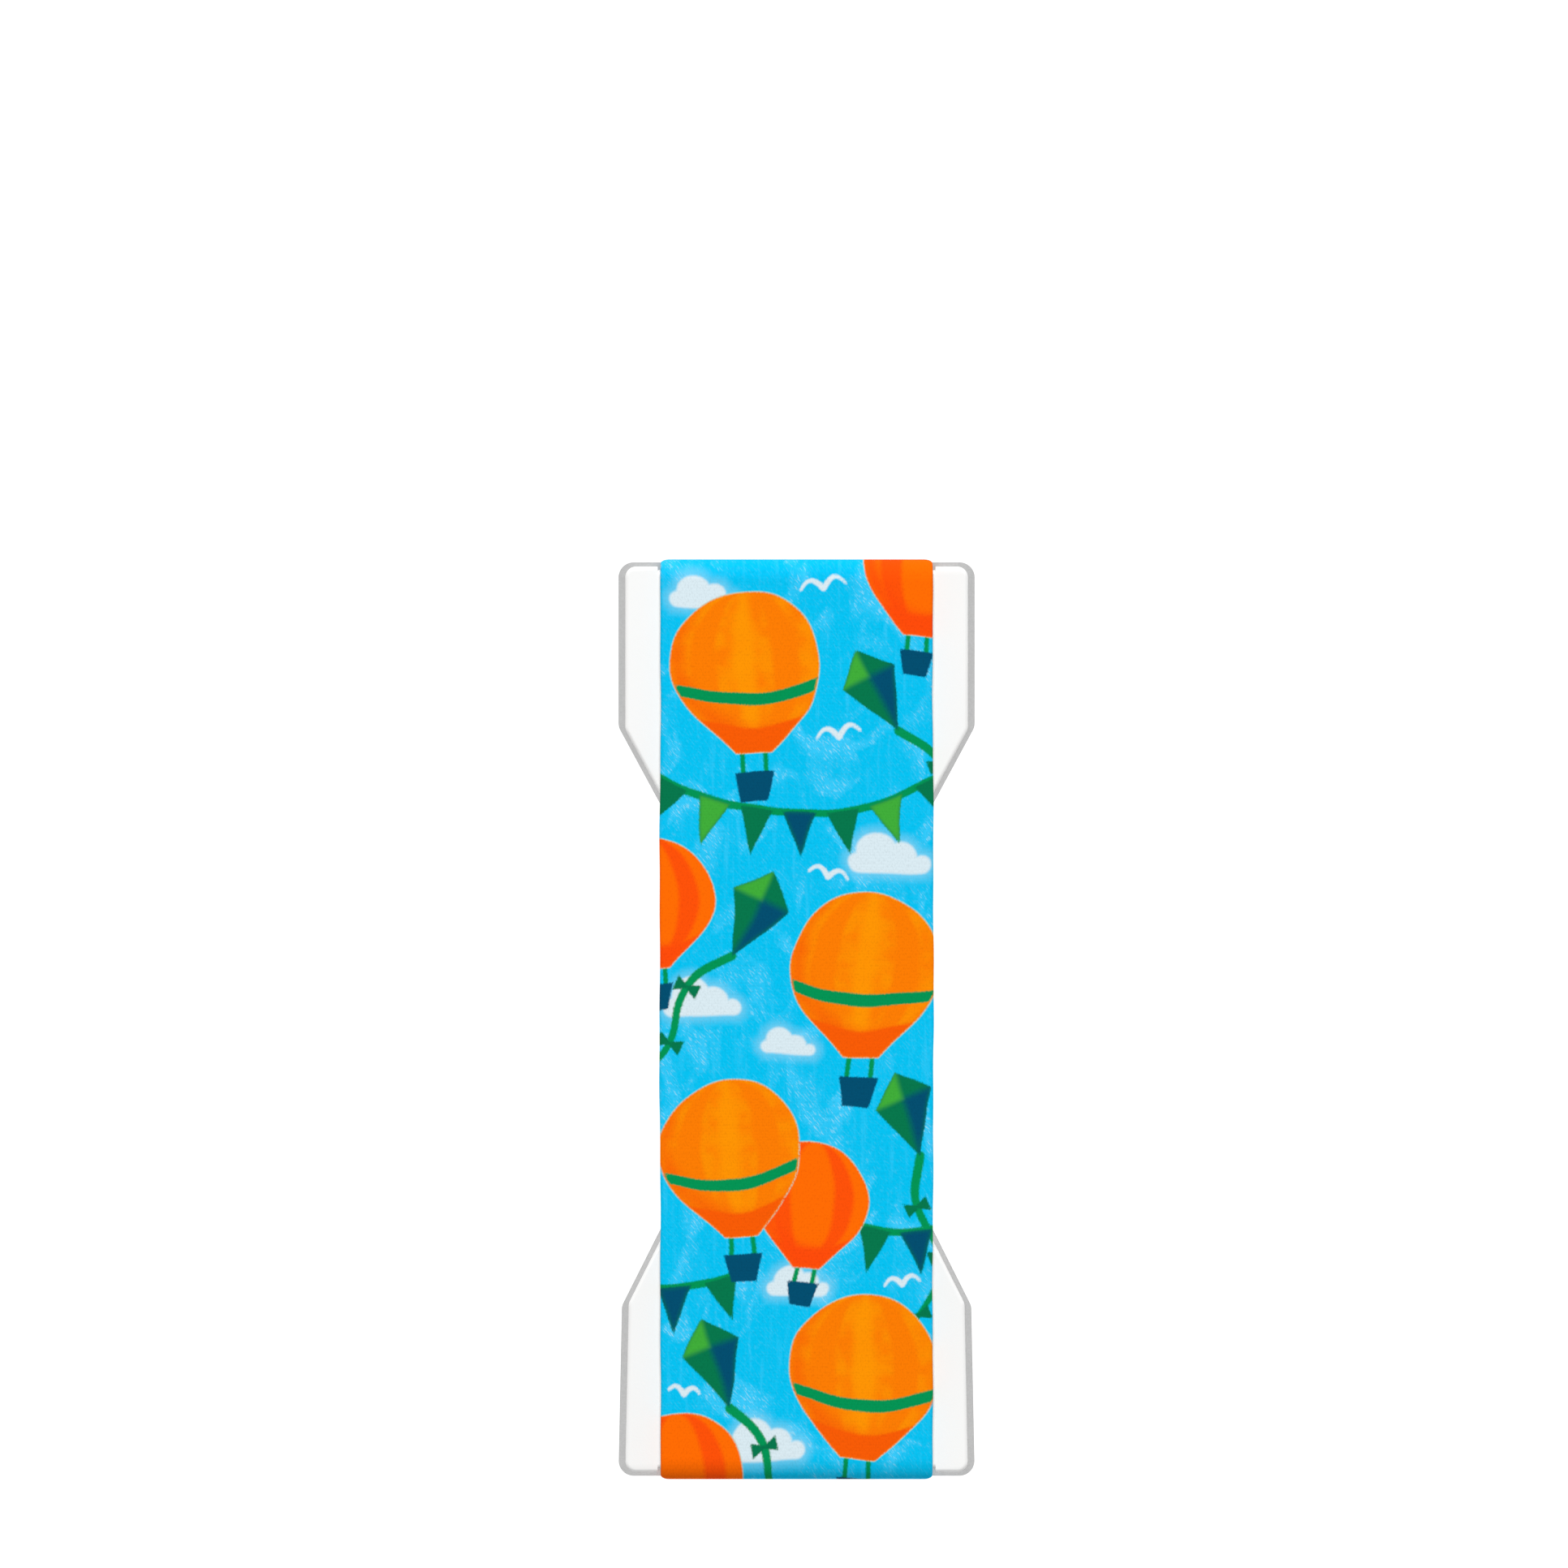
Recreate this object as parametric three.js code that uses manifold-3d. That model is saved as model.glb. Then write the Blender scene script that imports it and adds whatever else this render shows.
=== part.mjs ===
// Finger strap: a printed elastic band runs over a flat waisted base plate, turns round a round-edged
// bar at each end of it and is clamped underneath. A foam pad closes the underside and sticks it down.
// Millimetres. The pad's underside is the plane Z = 0, X runs across the band and Y along it.
import * as THREE from "three";
import { mergeVertices } from "three/addons/utils/BufferGeometryUtils.js";
import Module from "manifold-3d";

const wasm = await Module();
wasm.setup();

// Adhesive pad: it stands out past the plate all round and shows as a thin border.
const padThickness = 0.8;
const padLip = { side: 0.7, end: 0.45, flank: 0.5 };

// Base plate outline. Each ear is the wide end beside the band, and flanks lead in to the waist.
const plateLength = 93.5;
const plateWidth = 35.4;
const plateThickness = 2.8;
const waistWidth = 24.0;
const upperEar = { length: 16.8, shoulderInset: 0, flankAngle: 28.4 };
const lowerEar = { length: 17.4, shoulderInset: 0.35, flankAngle: 26.7 };
const cornerRadius = 1.1;
const shoulderRadius = 1.2;
const waistRadius = 7.0;
const plateEdgeRadius = 0.35;

// Relief in the plate's top, which leaves a low gap under the middle of the band for a fingertip.
const reliefLength = 43.0;
const reliefDepth = 1.4;
const reliefRamp = 4.5;
const reliefRadius = 3.0;

// Elastic band.
const bandWidth = 28.1;
const bandThickness = 1.0;
const bandEdgeRadius = 0.3;
const tailLength = 12.3;

// Seat of the band at each end of the plate.
const seatDepth = 0.35;
const seatSideClearance = 0.3;
const turnBarThickness = 1.0;
const bandGap = 0.1;
const pocketEndClearance = 1.0;
const pocketRadius = 1.2;

// Clamp bar under each tail, held by posts that are moulded on the plate and flared over.
const clampThickness = 0.6;
const clampSideClearance = 0.6;
const clampEndMargin = 0.8;
const clampRadius = 0.8;
const toothCount = 8;
const toothPitch = 1.0;
const toothHeight = 0.2;
const postCount = 4;
const postSpacing = 7.0;
const postRadius = 0.85;
const postClearance = 0.2;
const flareRadius = 1.35;
const flareThickness = 0.22;
const flareClearance = 0.12;

const arcSteps = 12;
const overcut = 1.0;

const padTop = padThickness;
const plateTop = padTop + plateThickness;
const pocketCeiling = plateTop - turnBarThickness;
const seatWidth = bandWidth + 2 * seatSideClearance;
const turnAxisY = plateLength / 2 - seatDepth - turnBarThickness / 2;
const turnAxisZ = plateTop - turnBarThickness / 2;
const turnInner = turnBarThickness / 2 + bandGap;
const turnOuter = turnInner + bandThickness;
const tailEndY = turnAxisY - tailLength;
const clampLength = toothCount * toothPitch;
const clampEndY = tailEndY + clampEndMargin;
const postY = clampEndY + clampLength / 2;
const postX = Array.from({ length: postCount }, (_, i) => (i - (postCount - 1) / 2) * postSpacing);

// Solids and meshes.

function solidOf(geometry) {
  const bare = geometry.index ? geometry.toNonIndexed() : geometry.clone();
  bare.deleteAttribute("normal");
  bare.deleteAttribute("uv");
  const merged = mergeVertices(bare, 1e-4);
  return new wasm.Manifold(
    new wasm.Mesh({
      numProp: 3,
      vertProperties: merged.attributes.position.array,
      triVerts: new Uint32Array(merged.index.array),
    }),
  );
}

function geometryOf(solid) {
  const { vertProperties, triVerts } = solid.getMesh();
  const geometry = new THREE.BufferGeometry();
  geometry.setAttribute("position", new THREE.BufferAttribute(vertProperties, 3));
  geometry.setIndex(new THREE.BufferAttribute(triVerts, 1));
  const flat = geometry.toNonIndexed();
  flat.computeVertexNormals();
  return flat;
}

function nodeOf(name, geometry, material) {
  const mesh = new THREE.Mesh(geometry, material);
  mesh.name = name;
  return mesh;
}

// A polygon whose corners [x, y, radius] are rounded by true arcs, outward or inward.
function roundedShape(corners) {
  const shape = new THREE.Shape();
  corners.forEach(([x, y, radius = 0], i) => {
    const corner = new THREE.Vector2(x, y);
    const before = corners.at(i - 1);
    const after = corners[(i + 1) % corners.length];
    const back = new THREE.Vector2(before[0], before[1]).sub(corner).normalize();
    const ahead = new THREE.Vector2(after[0], after[1]).sub(corner).normalize();
    const halfAngle = Math.acos(THREE.MathUtils.clamp(back.dot(ahead), -1, 1)) / 2;
    const trim = radius / Math.tan(halfAngle);
    const first = corner.clone().addScaledVector(back, trim);
    if (i === 0) shape.moveTo(first.x, first.y);
    else shape.lineTo(first.x, first.y);
    if (radius === 0) return;
    const last = corner.clone().addScaledVector(ahead, trim);
    const inward = back.clone().add(ahead).normalize();
    const centre = corner.clone().addScaledVector(inward, radius / Math.sin(halfAngle));
    const clockwise = back.cross(ahead) > 0;
    const startAngle = Math.atan2(first.y - centre.y, first.x - centre.x);
    const endAngle = Math.atan2(last.y - centre.y, last.x - centre.x);
    shape.absarc(centre.x, centre.y, radius, startAngle, endAngle, clockwise);
  });
  shape.closePath();
  return shape;
}

// Extrudes a shape upward from a height.
function upward(shape, bottom, height, options = {}) {
  const geometry = new THREE.ExtrudeGeometry(shape, {
    depth: height,
    bevelEnabled: false,
    curveSegments: arcSteps,
    ...options,
  });
  return geometry.translate(0, 0, bottom);
}

// Extrudes a side profile, drawn as (Y, Z), along X and centres it.
function across(profile, width, options = {}) {
  const geometry = new THREE.ExtrudeGeometry(profile, {
    depth: width,
    bevelEnabled: false,
    curveSegments: arcSteps,
    ...options,
  });
  const toRow = new THREE.Matrix4().makeBasis(
    new THREE.Vector3(0, 1, 0),
    new THREE.Vector3(0, 0, 1),
    new THREE.Vector3(1, 0, 0),
  );
  return geometry.translate(0, 0, -width / 2).applyMatrix4(toRow);
}

function box(width, length, height, y, bottom) {
  const geometry = new THREE.BoxGeometry(width, length, height);
  return solidOf(geometry.translate(0, y, bottom + height / 2));
}

// A turned piece about a vertical axis, from a profile of [radius, z] pairs.
function turned(profile, x, y) {
  const points = profile.map(([radius, z]) => new THREE.Vector2(radius, z));
  const geometry = new THREE.LatheGeometry(points, 2 * arcSteps);
  return solidOf(geometry.rotateX(Math.PI / 2).translate(x, y, 0));
}

// A round hole through a clamped piece at each post, at one end of the plate.
function postHoles(radius, bottom, top, end) {
  const profile = [[0, bottom], [radius, bottom], [radius, top], [0, top]];
  return postX.map((x) => turned(profile, x, end * postY));
}

// The waisted outline that the plate and the pad share, moved outward by a lip on each kind of edge.

function edgeThrough(point, direction, offset) {
  const along = direction.clone().normalize();
  const outward = new THREE.Vector2(along.y, -along.x);
  return { point: point.clone().addScaledVector(outward, offset), along };
}

function meet(a, b) {
  const between = b.point.clone().sub(a.point);
  const reach = between.cross(b.along) / a.along.cross(b.along);
  return a.point.clone().addScaledVector(a.along, reach);
}

// The right-hand edges of one ear, in order from the waist to the end of the plate.
function earEdges(ear, lip) {
  const tip = new THREE.Vector2(plateWidth / 2, plateLength / 2);
  const shoulder = new THREE.Vector2(tip.x - ear.shoulderInset, tip.y - ear.length);
  const angle = THREE.MathUtils.degToRad(ear.flankAngle);
  const flankDirection = new THREE.Vector2(Math.sin(angle), Math.cos(angle));
  const up = new THREE.Vector2(0, 1);
  return [
    edgeThrough(new THREE.Vector2(waistWidth / 2, 0), up, lip.flank),
    edgeThrough(shoulder, flankDirection, lip.flank),
    edgeThrough(shoulder, tip.clone().sub(shoulder), lip.side),
    edgeThrough(tip, new THREE.Vector2(-1, 0), lip.end),
  ];
}

// The corners [x, y, radius] of one ear, from the waist up its right-hand side. A lip makes the
// outer corners larger and the hollow one at the waist smaller, so that it keeps its width there.
function earCorners(ear, lip) {
  const [waist, flank, side, end] = earEdges(ear, lip);
  const inner = meet(waist, flank);
  const shoulder = meet(flank, side);
  const tip = meet(side, end);
  return [
    [inner.x, inner.y, waistRadius - lip.flank],
    [shoulder.x, shoulder.y, shoulderRadius + lip.flank],
    [tip.x, tip.y, cornerRadius + lip.end],
  ];
}

function waistedOutline(lip) {
  const upper = earCorners(upperEar, lip);
  const lower = earCorners(lowerEar, lip);
  const upperLeft = upper.map(([x, y, r]) => [-x, y, r]).reverse();
  const lowerLeft = lower.map(([x, y, r]) => [-x, -y, r]);
  const lowerRight = lower.map(([x, y, r]) => [x, -y, r]).reverse();
  return roundedShape([...upper, ...upperLeft, ...lowerLeft, ...lowerRight]);
}

// Pieces.

// A post of the plate with its end flared over the clamp bar.
function clampPost(x, y) {
  const flareBottom = padTop + bandGap / 2;
  const flareTop = flareBottom + flareThickness;
  const root = pocketCeiling + turnBarThickness / 2;
  const profile = [
    [0, flareBottom],
    [flareRadius, flareBottom],
    [flareRadius, flareTop - flareThickness / 3],
    [flareRadius - flareThickness / 3, flareTop],
    [postRadius, flareTop],
    [postRadius, root],
    [0, root],
  ];
  return turned(profile, x, y);
}

// The seat at one end: a shallow notch with a round-edged bar that the band turns round, a pocket
// under it for the tail, and the row of posts.
function cutSeat(plate, end) {
  const notchLength = plateLength / 2 - turnAxisY + overcut;
  const notchMiddle = end * (turnAxisY + notchLength / 2);
  const notchHeight = plateThickness + 2 * overcut;
  const notch = box(seatWidth, notchLength, notchHeight, notchMiddle, padTop - overcut);
  const pocketEndY = tailEndY - pocketEndClearance;
  const pocketOutline = roundedShape([
    [seatWidth / 2, end * (turnAxisY + overcut)],
    [-seatWidth / 2, end * (turnAxisY + overcut)],
    [-seatWidth / 2, end * pocketEndY, pocketRadius],
    [seatWidth / 2, end * pocketEndY, pocketRadius],
  ]);
  const pocket = solidOf(upward(pocketOutline, padTop - overcut, pocketCeiling - padTop + overcut));
  const barProfile = new THREE.Shape();
  barProfile.absarc(end * turnAxisY, turnAxisZ, turnBarThickness / 2, 0, 2 * Math.PI, false);
  const turnBar = solidOf(across(barProfile, seatWidth));
  const posts = postX.map((x) => clampPost(x, end * postY));
  const seated = plate.subtract(notch).subtract(pocket).add(turnBar);
  return posts.reduce((made, post) => made.add(post), seated);
}

function basePlate() {
  // The blank starts below the pad's top, so that only its upper rim stays rounded once it is cut flat.
  const outline = waistedOutline({ side: 0, end: 0, flank: 0 });
  const blank = upward(outline, padTop - plateEdgeRadius, plateThickness, {
    bevelEnabled: true,
    bevelSize: plateEdgeRadius,
    bevelThickness: plateEdgeRadius,
    bevelOffset: -plateEdgeRadius,
    bevelSegments: 4,
  });
  const clearWidth = plateWidth + 2 * overcut;
  const clearLength = plateLength + 2 * overcut;
  const below = box(clearWidth, clearLength, plateThickness, 0, padTop - plateThickness);
  const reliefFloor = plateTop - reliefDepth;
  const reliefTop = plateTop + plateEdgeRadius / 10;
  const relief = roundedShape([
    [-reliefLength / 2 - reliefRamp, plateTop + overcut],
    [-reliefLength / 2 - reliefRamp, reliefTop],
    [-reliefLength / 2, reliefTop, reliefRadius],
    [-reliefLength / 2 + reliefRamp, reliefFloor, reliefRadius],
    [reliefLength / 2 - reliefRamp, reliefFloor, reliefRadius],
    [reliefLength / 2, reliefTop, reliefRadius],
    [reliefLength / 2 + reliefRamp, reliefTop],
    [reliefLength / 2 + reliefRamp, plateTop + overcut],
  ]);
  const trimmed = solidOf(blank)
    .subtract(below)
    .subtract(solidOf(across(relief, clearWidth)));
  return [1, -1].reduce(cutSeat, trimmed);
}

// The band's side profile: a flat top run, a half turn at each end and two tails under the plate.
function bandProfile() {
  const quarter = Math.PI / 2;
  const profile = new THREE.Shape();
  profile.moveTo(-turnAxisY, turnAxisZ + turnInner);
  profile.absarc(-turnAxisY, turnAxisZ, turnInner, quarter, 3 * quarter, false);
  profile.lineTo(-tailEndY, turnAxisZ - turnInner);
  profile.lineTo(-tailEndY, turnAxisZ - turnOuter);
  profile.absarc(-turnAxisY, turnAxisZ, turnOuter, 3 * quarter, quarter, true);
  profile.absarc(turnAxisY, turnAxisZ, turnOuter, quarter, -quarter, true);
  profile.lineTo(tailEndY, turnAxisZ - turnOuter);
  profile.lineTo(tailEndY, turnAxisZ - turnInner);
  profile.absarc(turnAxisY, turnAxisZ, turnInner, -quarter, quarter, false);
  profile.closePath();
  return profile;
}

function elasticBand() {
  const band = across(bandProfile(), bandWidth - 2 * bandEdgeRadius, {
    bevelEnabled: true,
    bevelSize: bandEdgeRadius,
    bevelThickness: bandEdgeRadius,
    bevelOffset: -bandEdgeRadius,
    bevelSegments: 3,
  });
  const holeRadius = postRadius + postClearance;
  const holes = [1, -1].flatMap((end) => postHoles(holeRadius, padTop, pocketCeiling, end));
  return holes.reduce((made, hole) => made.subtract(hole), solidOf(band));
}

// A thin bar with rows of teeth that bite the tail, and a counterbored hole for each post.
function clampBar(end) {
  const toothRoot = padTop + clampThickness - toothHeight;
  const teeth = Array.from({ length: toothCount }, (_, i) => [
    [clampEndY + i * toothPitch, toothRoot],
    [clampEndY + (i + 0.5) * toothPitch, toothRoot + toothHeight],
  ]).flat();
  const profile = [
    [clampEndY, padTop],
    ...teeth,
    [clampEndY + clampLength, toothRoot],
    [clampEndY + clampLength, padTop],
  ];
  const side = new THREE.Shape(profile.map(([y, z]) => new THREE.Vector2(end * y, z)));
  const clampWidth = bandWidth - 2 * clampSideClearance;
  const footprint = roundedShape([
    [clampWidth / 2, end * clampEndY, clampRadius],
    [clampWidth / 2, end * (clampEndY + clampLength), clampRadius],
    [-clampWidth / 2, end * (clampEndY + clampLength), clampRadius],
    [-clampWidth / 2, end * clampEndY, clampRadius],
  ]);
  const blank = solidOf(across(side, clampWidth)).intersect(
    solidOf(upward(footprint, padTop, clampThickness)),
  );
  const counterboreTop = padTop + bandGap / 2 + flareThickness + flareClearance / 2;
  const cuts = [
    ...postHoles(postRadius + postClearance, padTop - overcut, plateTop, end),
    ...postHoles(flareRadius + flareClearance, padTop - overcut, counterboreTop, end),
  ];
  return cuts.reduce((made, cut) => made.subtract(cut), blank);
}

function adhesivePad() {
  return upward(waistedOutline(padLip), 0, padThickness);
}

// Finishes.
const whitePlastic = new THREE.MeshStandardMaterial({ color: 0xf7f7f6, roughness: 0.45, metalness: 0 });
const printedElastic = new THREE.MeshStandardMaterial({ color: 0x0fb9f2, roughness: 0.85, metalness: 0 });
const greyFoam = new THREE.MeshStandardMaterial({ color: 0xc1c1c1, roughness: 0.9, metalness: 0 });
const stampedSteel = new THREE.MeshStandardMaterial({ color: 0xb4b6b8, roughness: 0.35, metalness: 1 });

const fingerStrap = new THREE.Group();
fingerStrap.name = "phone_finger_strap";
fingerStrap.add(
  nodeOf("adhesive_pad", adhesivePad(), greyFoam),
  nodeOf("base_plate", geometryOf(basePlate()), whitePlastic),
  nodeOf("elastic_band", geometryOf(elasticBand()), printedElastic),
  nodeOf("upper_clamp_bar", geometryOf(clampBar(1)), stampedSteel),
  nodeOf("lower_clamp_bar", geometryOf(clampBar(-1)), stampedSteel),
);

export default fingerStrap;
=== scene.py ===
"""Finger strap dressed for a studio picture.

A printed elastic band runs over a white moulded plate, with a grey foam pad under the plate and a steel
bar clamping each tail of the band. The band and the pad are surfaces worked out here from two parameters.
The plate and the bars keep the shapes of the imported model.
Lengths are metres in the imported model's frame, except in the print, which is drawn in millimetres.
"""

import bpy
import numpy as np
from bpy.props import FloatProperty, FloatVectorProperty, IntProperty, PointerProperty
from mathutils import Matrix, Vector


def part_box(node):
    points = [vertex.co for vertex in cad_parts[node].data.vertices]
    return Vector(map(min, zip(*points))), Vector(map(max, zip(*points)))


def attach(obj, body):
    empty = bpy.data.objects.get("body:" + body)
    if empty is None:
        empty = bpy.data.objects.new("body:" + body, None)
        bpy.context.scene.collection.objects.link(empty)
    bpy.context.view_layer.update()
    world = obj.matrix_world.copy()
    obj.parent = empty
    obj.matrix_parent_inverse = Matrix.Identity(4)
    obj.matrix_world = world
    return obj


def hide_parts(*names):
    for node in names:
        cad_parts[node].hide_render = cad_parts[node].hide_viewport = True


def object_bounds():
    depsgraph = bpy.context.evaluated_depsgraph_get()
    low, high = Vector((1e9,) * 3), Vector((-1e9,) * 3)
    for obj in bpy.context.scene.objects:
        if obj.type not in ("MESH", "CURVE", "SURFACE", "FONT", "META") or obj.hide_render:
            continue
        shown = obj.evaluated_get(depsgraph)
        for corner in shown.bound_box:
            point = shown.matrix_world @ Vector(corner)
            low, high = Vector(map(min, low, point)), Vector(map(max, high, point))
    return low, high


bl_info = {
    "name": "Finger strap studio",
    "version": (1, 0, 0),
    "blender": (4, 5, 0),
    "location": "3D View > Sidebar > Finger strap",
    "description": "Dresses a packed finger strap with its printed band, plate, pad, clamp bars and a stage",
    "category": "Object",
}

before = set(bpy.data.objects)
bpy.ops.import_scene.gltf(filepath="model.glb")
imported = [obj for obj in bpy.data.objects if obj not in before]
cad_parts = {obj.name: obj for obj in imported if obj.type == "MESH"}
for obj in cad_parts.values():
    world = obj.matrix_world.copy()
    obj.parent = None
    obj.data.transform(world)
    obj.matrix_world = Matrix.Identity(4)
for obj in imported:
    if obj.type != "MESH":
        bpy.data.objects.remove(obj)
cad_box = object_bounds()

MM = 0.001
ROOT = "root"

# Points nearer than this are the same point.
SAME_POINT = 0.001 * MM

# Edges that turn by more degrees than this stay sharp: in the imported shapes, and in the skins made here.
PACKED_CREASE = 28
SKIN_CREASE = 50

# The print's distances are kept within this many millimetres.
PRINT_REACH = 5


def ink(red, green, blue):
    """A display colour, 0 to 255 a channel, as scene-linear light: the display curve undone."""
    share = np.array([red, green, blue]) / 255
    linear = np.where(share <= 0.04045, share / 12.92, ((share + 0.055) / 1.055) ** 2.4)
    return tuple(float(channel) for channel in linear)


# User settings


def length(name, description, default):
    """A property that is a small length in metres."""
    return FloatProperty(
        name=name, description=description, default=default, min=0.0, unit="LENGTH", precision=5
    )


def position(name, description, default):
    """A property that is a coordinate in metres."""
    return FloatProperty(name=name, description=description, default=default, unit="LENGTH", precision=5)


def amount(name, description, default, least=0.0):
    """A property that is a plain number."""
    return FloatProperty(name=name, description=description, default=default, min=least)


def count(name, description, default, least):
    """A property that is a whole number."""
    return IntProperty(name=name, description=description, default=default, min=least)


def colour(name, description, default):
    """A property that is a scene-linear colour."""
    return FloatVectorProperty(
        name=name, description=description, default=default, min=0.0, max=1.0, subtype="COLOR"
    )


class BandSizes(bpy.types.PropertyGroup):
    """Sizes of the elastic band that the frame doesn't give."""

    thickness: length("Thickness", "Thickness of the webbing", 1.0 * MM)
    edge_radius: length("Edge radius", "Rounding of the selvedges", 0.42 * MM)
    corner_radius: length("Corner radius", "Rounding of the fold's ends, seen from above", 0.45 * MM)
    fold_reach: length("Fold reach", "Length over which the top run bows down to each fold", 2.2 * MM)
    edge_wander: length("Edge wander", "How far the selvedges stray from straight", 0.05 * MM)
    middle_swell: length("Middle swell", "Extra half width at the free middle", 0.1 * MM)
    surface_wave: length("Surface wave", "Height of the cloth's slow waves", 0.04 * MM)
    outer_columns: count("Outer columns", "Faces across the printed side", 140, least=8)
    run_rows: count("Run rows", "Faces along the top run", 380, least=8)
    turn_rows: count("Turn rows", "Faces along each fold", 28, least=4)
    tail_rows: count("Tail rows", "Faces along each tail", 16, least=2)
    post_count: count("Posts", "Posts through each tail", 4, least=1)
    post_spacing: length("Post spacing", "Distance between two posts", 7.0 * MM)
    post_hole_radius: length("Post hole radius", "Radius of the holes in the tails", 1.05 * MM)


class PadSizes(bpy.types.PropertyGroup):
    """Sizes of the foam pad's cut side."""

    edge_radius: length("Edge radius", "Rounding of the two rims", 0.09 * MM)
    waist: length("Waist", "How far the middle of the cut side is drawn in", 0.03 * MM)


class PrintColours(bpy.types.PropertyGroup):
    """Inks of the print on the band."""

    sky: colour("Sky", "Ground of the print", ink(2, 185, 231))
    haze: colour("Haze", "Paler brush marks in the ground", ink(60, 196, 242))
    cloud: colour("Cloud", "Clouds and birds", ink(208, 224, 231))
    string: colour("String", "Strings, tails and belts", ink(0, 141, 80))
    green: colour("Green", "Middle green of kites and flags", ink(3, 113, 72))
    light: colour("Light green", "Bright green of kites and flags", ink(60, 165, 54))
    dark: colour("Navy", "Dark parts of kites, flags and baskets", ink(0, 74, 106))
    orange: colour("Orange", "Near balloons", ink(242, 136, 0))
    gore: colour("Gore", "Darker gores of near balloons", ink(241, 119, 0))
    glow: colour("Glow", "Bright middle gore of near balloons", ink(244, 144, 0))
    skirt: colour("Skirt", "Skirt of near balloons", ink(237, 87, 2))
    far_orange: colour("Far orange", "Far balloons", ink(246, 103, 0))
    far_red: colour("Far red", "Gores and skirt of far balloons", ink(242, 69, 6))
    frost: colour("Frost", "Bare yarn that shows through the ground", ink(182, 218, 229))
    rim: colour("Rim", "Thin pale rim round the orange ink", ink(166, 206, 180))
    yarn: colour("Yarn", "Unprinted elastic yarn", ink(232, 234, 234))


class StageSettings(bpy.types.PropertyGroup):
    """Camera and light."""

    lens: amount("Lens", "Focal length in millimetres", 800.0, least=50.0)
    frame_width: length("Frame width", "Width of the picture at the strap's middle height", 162.0 * MM)
    look_x: position("Look X", "Where the camera points, across", -1.3 * MM)
    look_y: position("Look Y", "Where the camera points, along", 24.3 * MM)
    floor_reach: length("Floor reach", "Half the side of the floor", 4000 * MM)
    softbox_side: length("Softbox side", "Side of the square softboxes", 2200 * MM)
    key_power: amount("Key power", "Power of the key light in watts", 190.0)
    key_reach: length("Key reach", "Distance of the key light along the strap's middle line", 2600 * MM)
    key_rise: length("Key rise", "Height of the key light above the strap", 3600 * MM)
    wash_power: amount("Wash power", "Power of the wash light in watts", 156.0)
    wash_rise: length("Wash rise", "Height of the wash light above the strap", 4400 * MM)
    sky_strength: amount("Sky strength", "Strength of the even light", 0.39)


# Meshes


def closed_skin(name, grid):
    """A closed mesh from a grid of points.

    Rows follow a path and columns go round it, the last column joining the first. Each cell is one quad,
    and the first and last rows are closed by one face each.
    """
    rows, columns = grid.shape[:2]
    place = np.arange(rows * columns).reshape(rows, columns)
    beside = np.roll(place, -1, axis=1)
    quads = np.stack([place[:-1], beside[:-1], beside[1:], place[1:]], axis=-1).reshape(-1, 4)
    corners = np.concatenate([quads.ravel(), place[0, ::-1], place[-1]])
    starts = np.concatenate([np.arange(len(quads)) * 4, [quads.size, quads.size + columns]])
    mesh = bpy.data.meshes.new(name)
    mesh.vertices.add(rows * columns)
    mesh.vertices.foreach_set("co", grid.reshape(-1, 3).astype(np.float32).ravel())
    mesh.loops.add(len(corners))
    mesh.loops.foreach_set("vertex_index", corners.astype(np.int32))
    mesh.polygons.add(len(starts))
    mesh.polygons.foreach_set("loop_start", starts.astype(np.int32))
    mesh.update(calc_edges=True)
    mesh.validate()
    return mesh


def vertices_of(mesh):
    """A mesh's points as an array of rows."""
    points = np.empty(len(mesh.vertices) * 3, np.float32)
    mesh.vertices.foreach_get("co", points)
    return points.reshape(-1, 3).astype(float)


def add_object(mesh, material):
    """Puts a mesh in the scene at the origin, with one material."""
    piece = bpy.data.objects.new(mesh.name, mesh)
    bpy.context.scene.collection.objects.link(piece)
    mesh.materials.append(material)
    return piece


def shade(mesh):
    """Smooth shading that breaks at sharp edges."""
    mesh.shade_smooth()
    mesh.set_sharp_from_angle(angle=np.radians(SKIN_CREASE))


def round_shading():
    """Modifier nodes that merge a mesh's loose triangles and shade them smooth up to sharp edges."""
    group = bpy.data.node_groups.new("round shading", "GeometryNodeTree")
    for way in ("INPUT", "OUTPUT"):
        group.interface.new_socket("Mesh", in_out=way, socket_type="NodeSocketGeometry")
    kinds = ("NodeGroupInput", "GeometryNodeMergeByDistance", "GeometryNodeSetShadeSmooth")
    start, merge, smooth = [group.nodes.new(kind) for kind in kinds]
    crease, end = [group.nodes.new(kind) for kind in ("GeometryNodeSetShadeSmooth", "NodeGroupOutput")]
    for before, after in zip((start, merge, smooth, crease), (merge, smooth, crease, end)):
        group.links.new(before.outputs[0], after.inputs[0])
    merge.inputs["Distance"].default_value = SAME_POINT
    crease.domain = "EDGE"
    crease.inputs["Shade Smooth"].default_value = False
    sharp = group.nodes.new("FunctionNodeCompare")
    sharp.inputs["B"].default_value = np.radians(PACKED_CREASE)
    edge_angle = group.nodes.new("GeometryNodeInputMeshEdgeAngle").outputs["Unsigned Angle"]
    group.links.new(edge_angle, sharp.inputs["A"])
    group.links.new(sharp.outputs["Result"], crease.inputs["Selection"])
    return group


def dress(node, material):
    """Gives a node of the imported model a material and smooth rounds. Its mesh stays as it is."""
    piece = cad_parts[node]
    piece.data.materials.clear()
    piece.data.materials.append(material)
    piece.modifiers.new("round shading", "NODES").node_group = round_shading()
    piece.modifiers.new("flat faces stay flat", "WEIGHTED_NORMAL").keep_sharp = True


# Shader nodes


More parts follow.
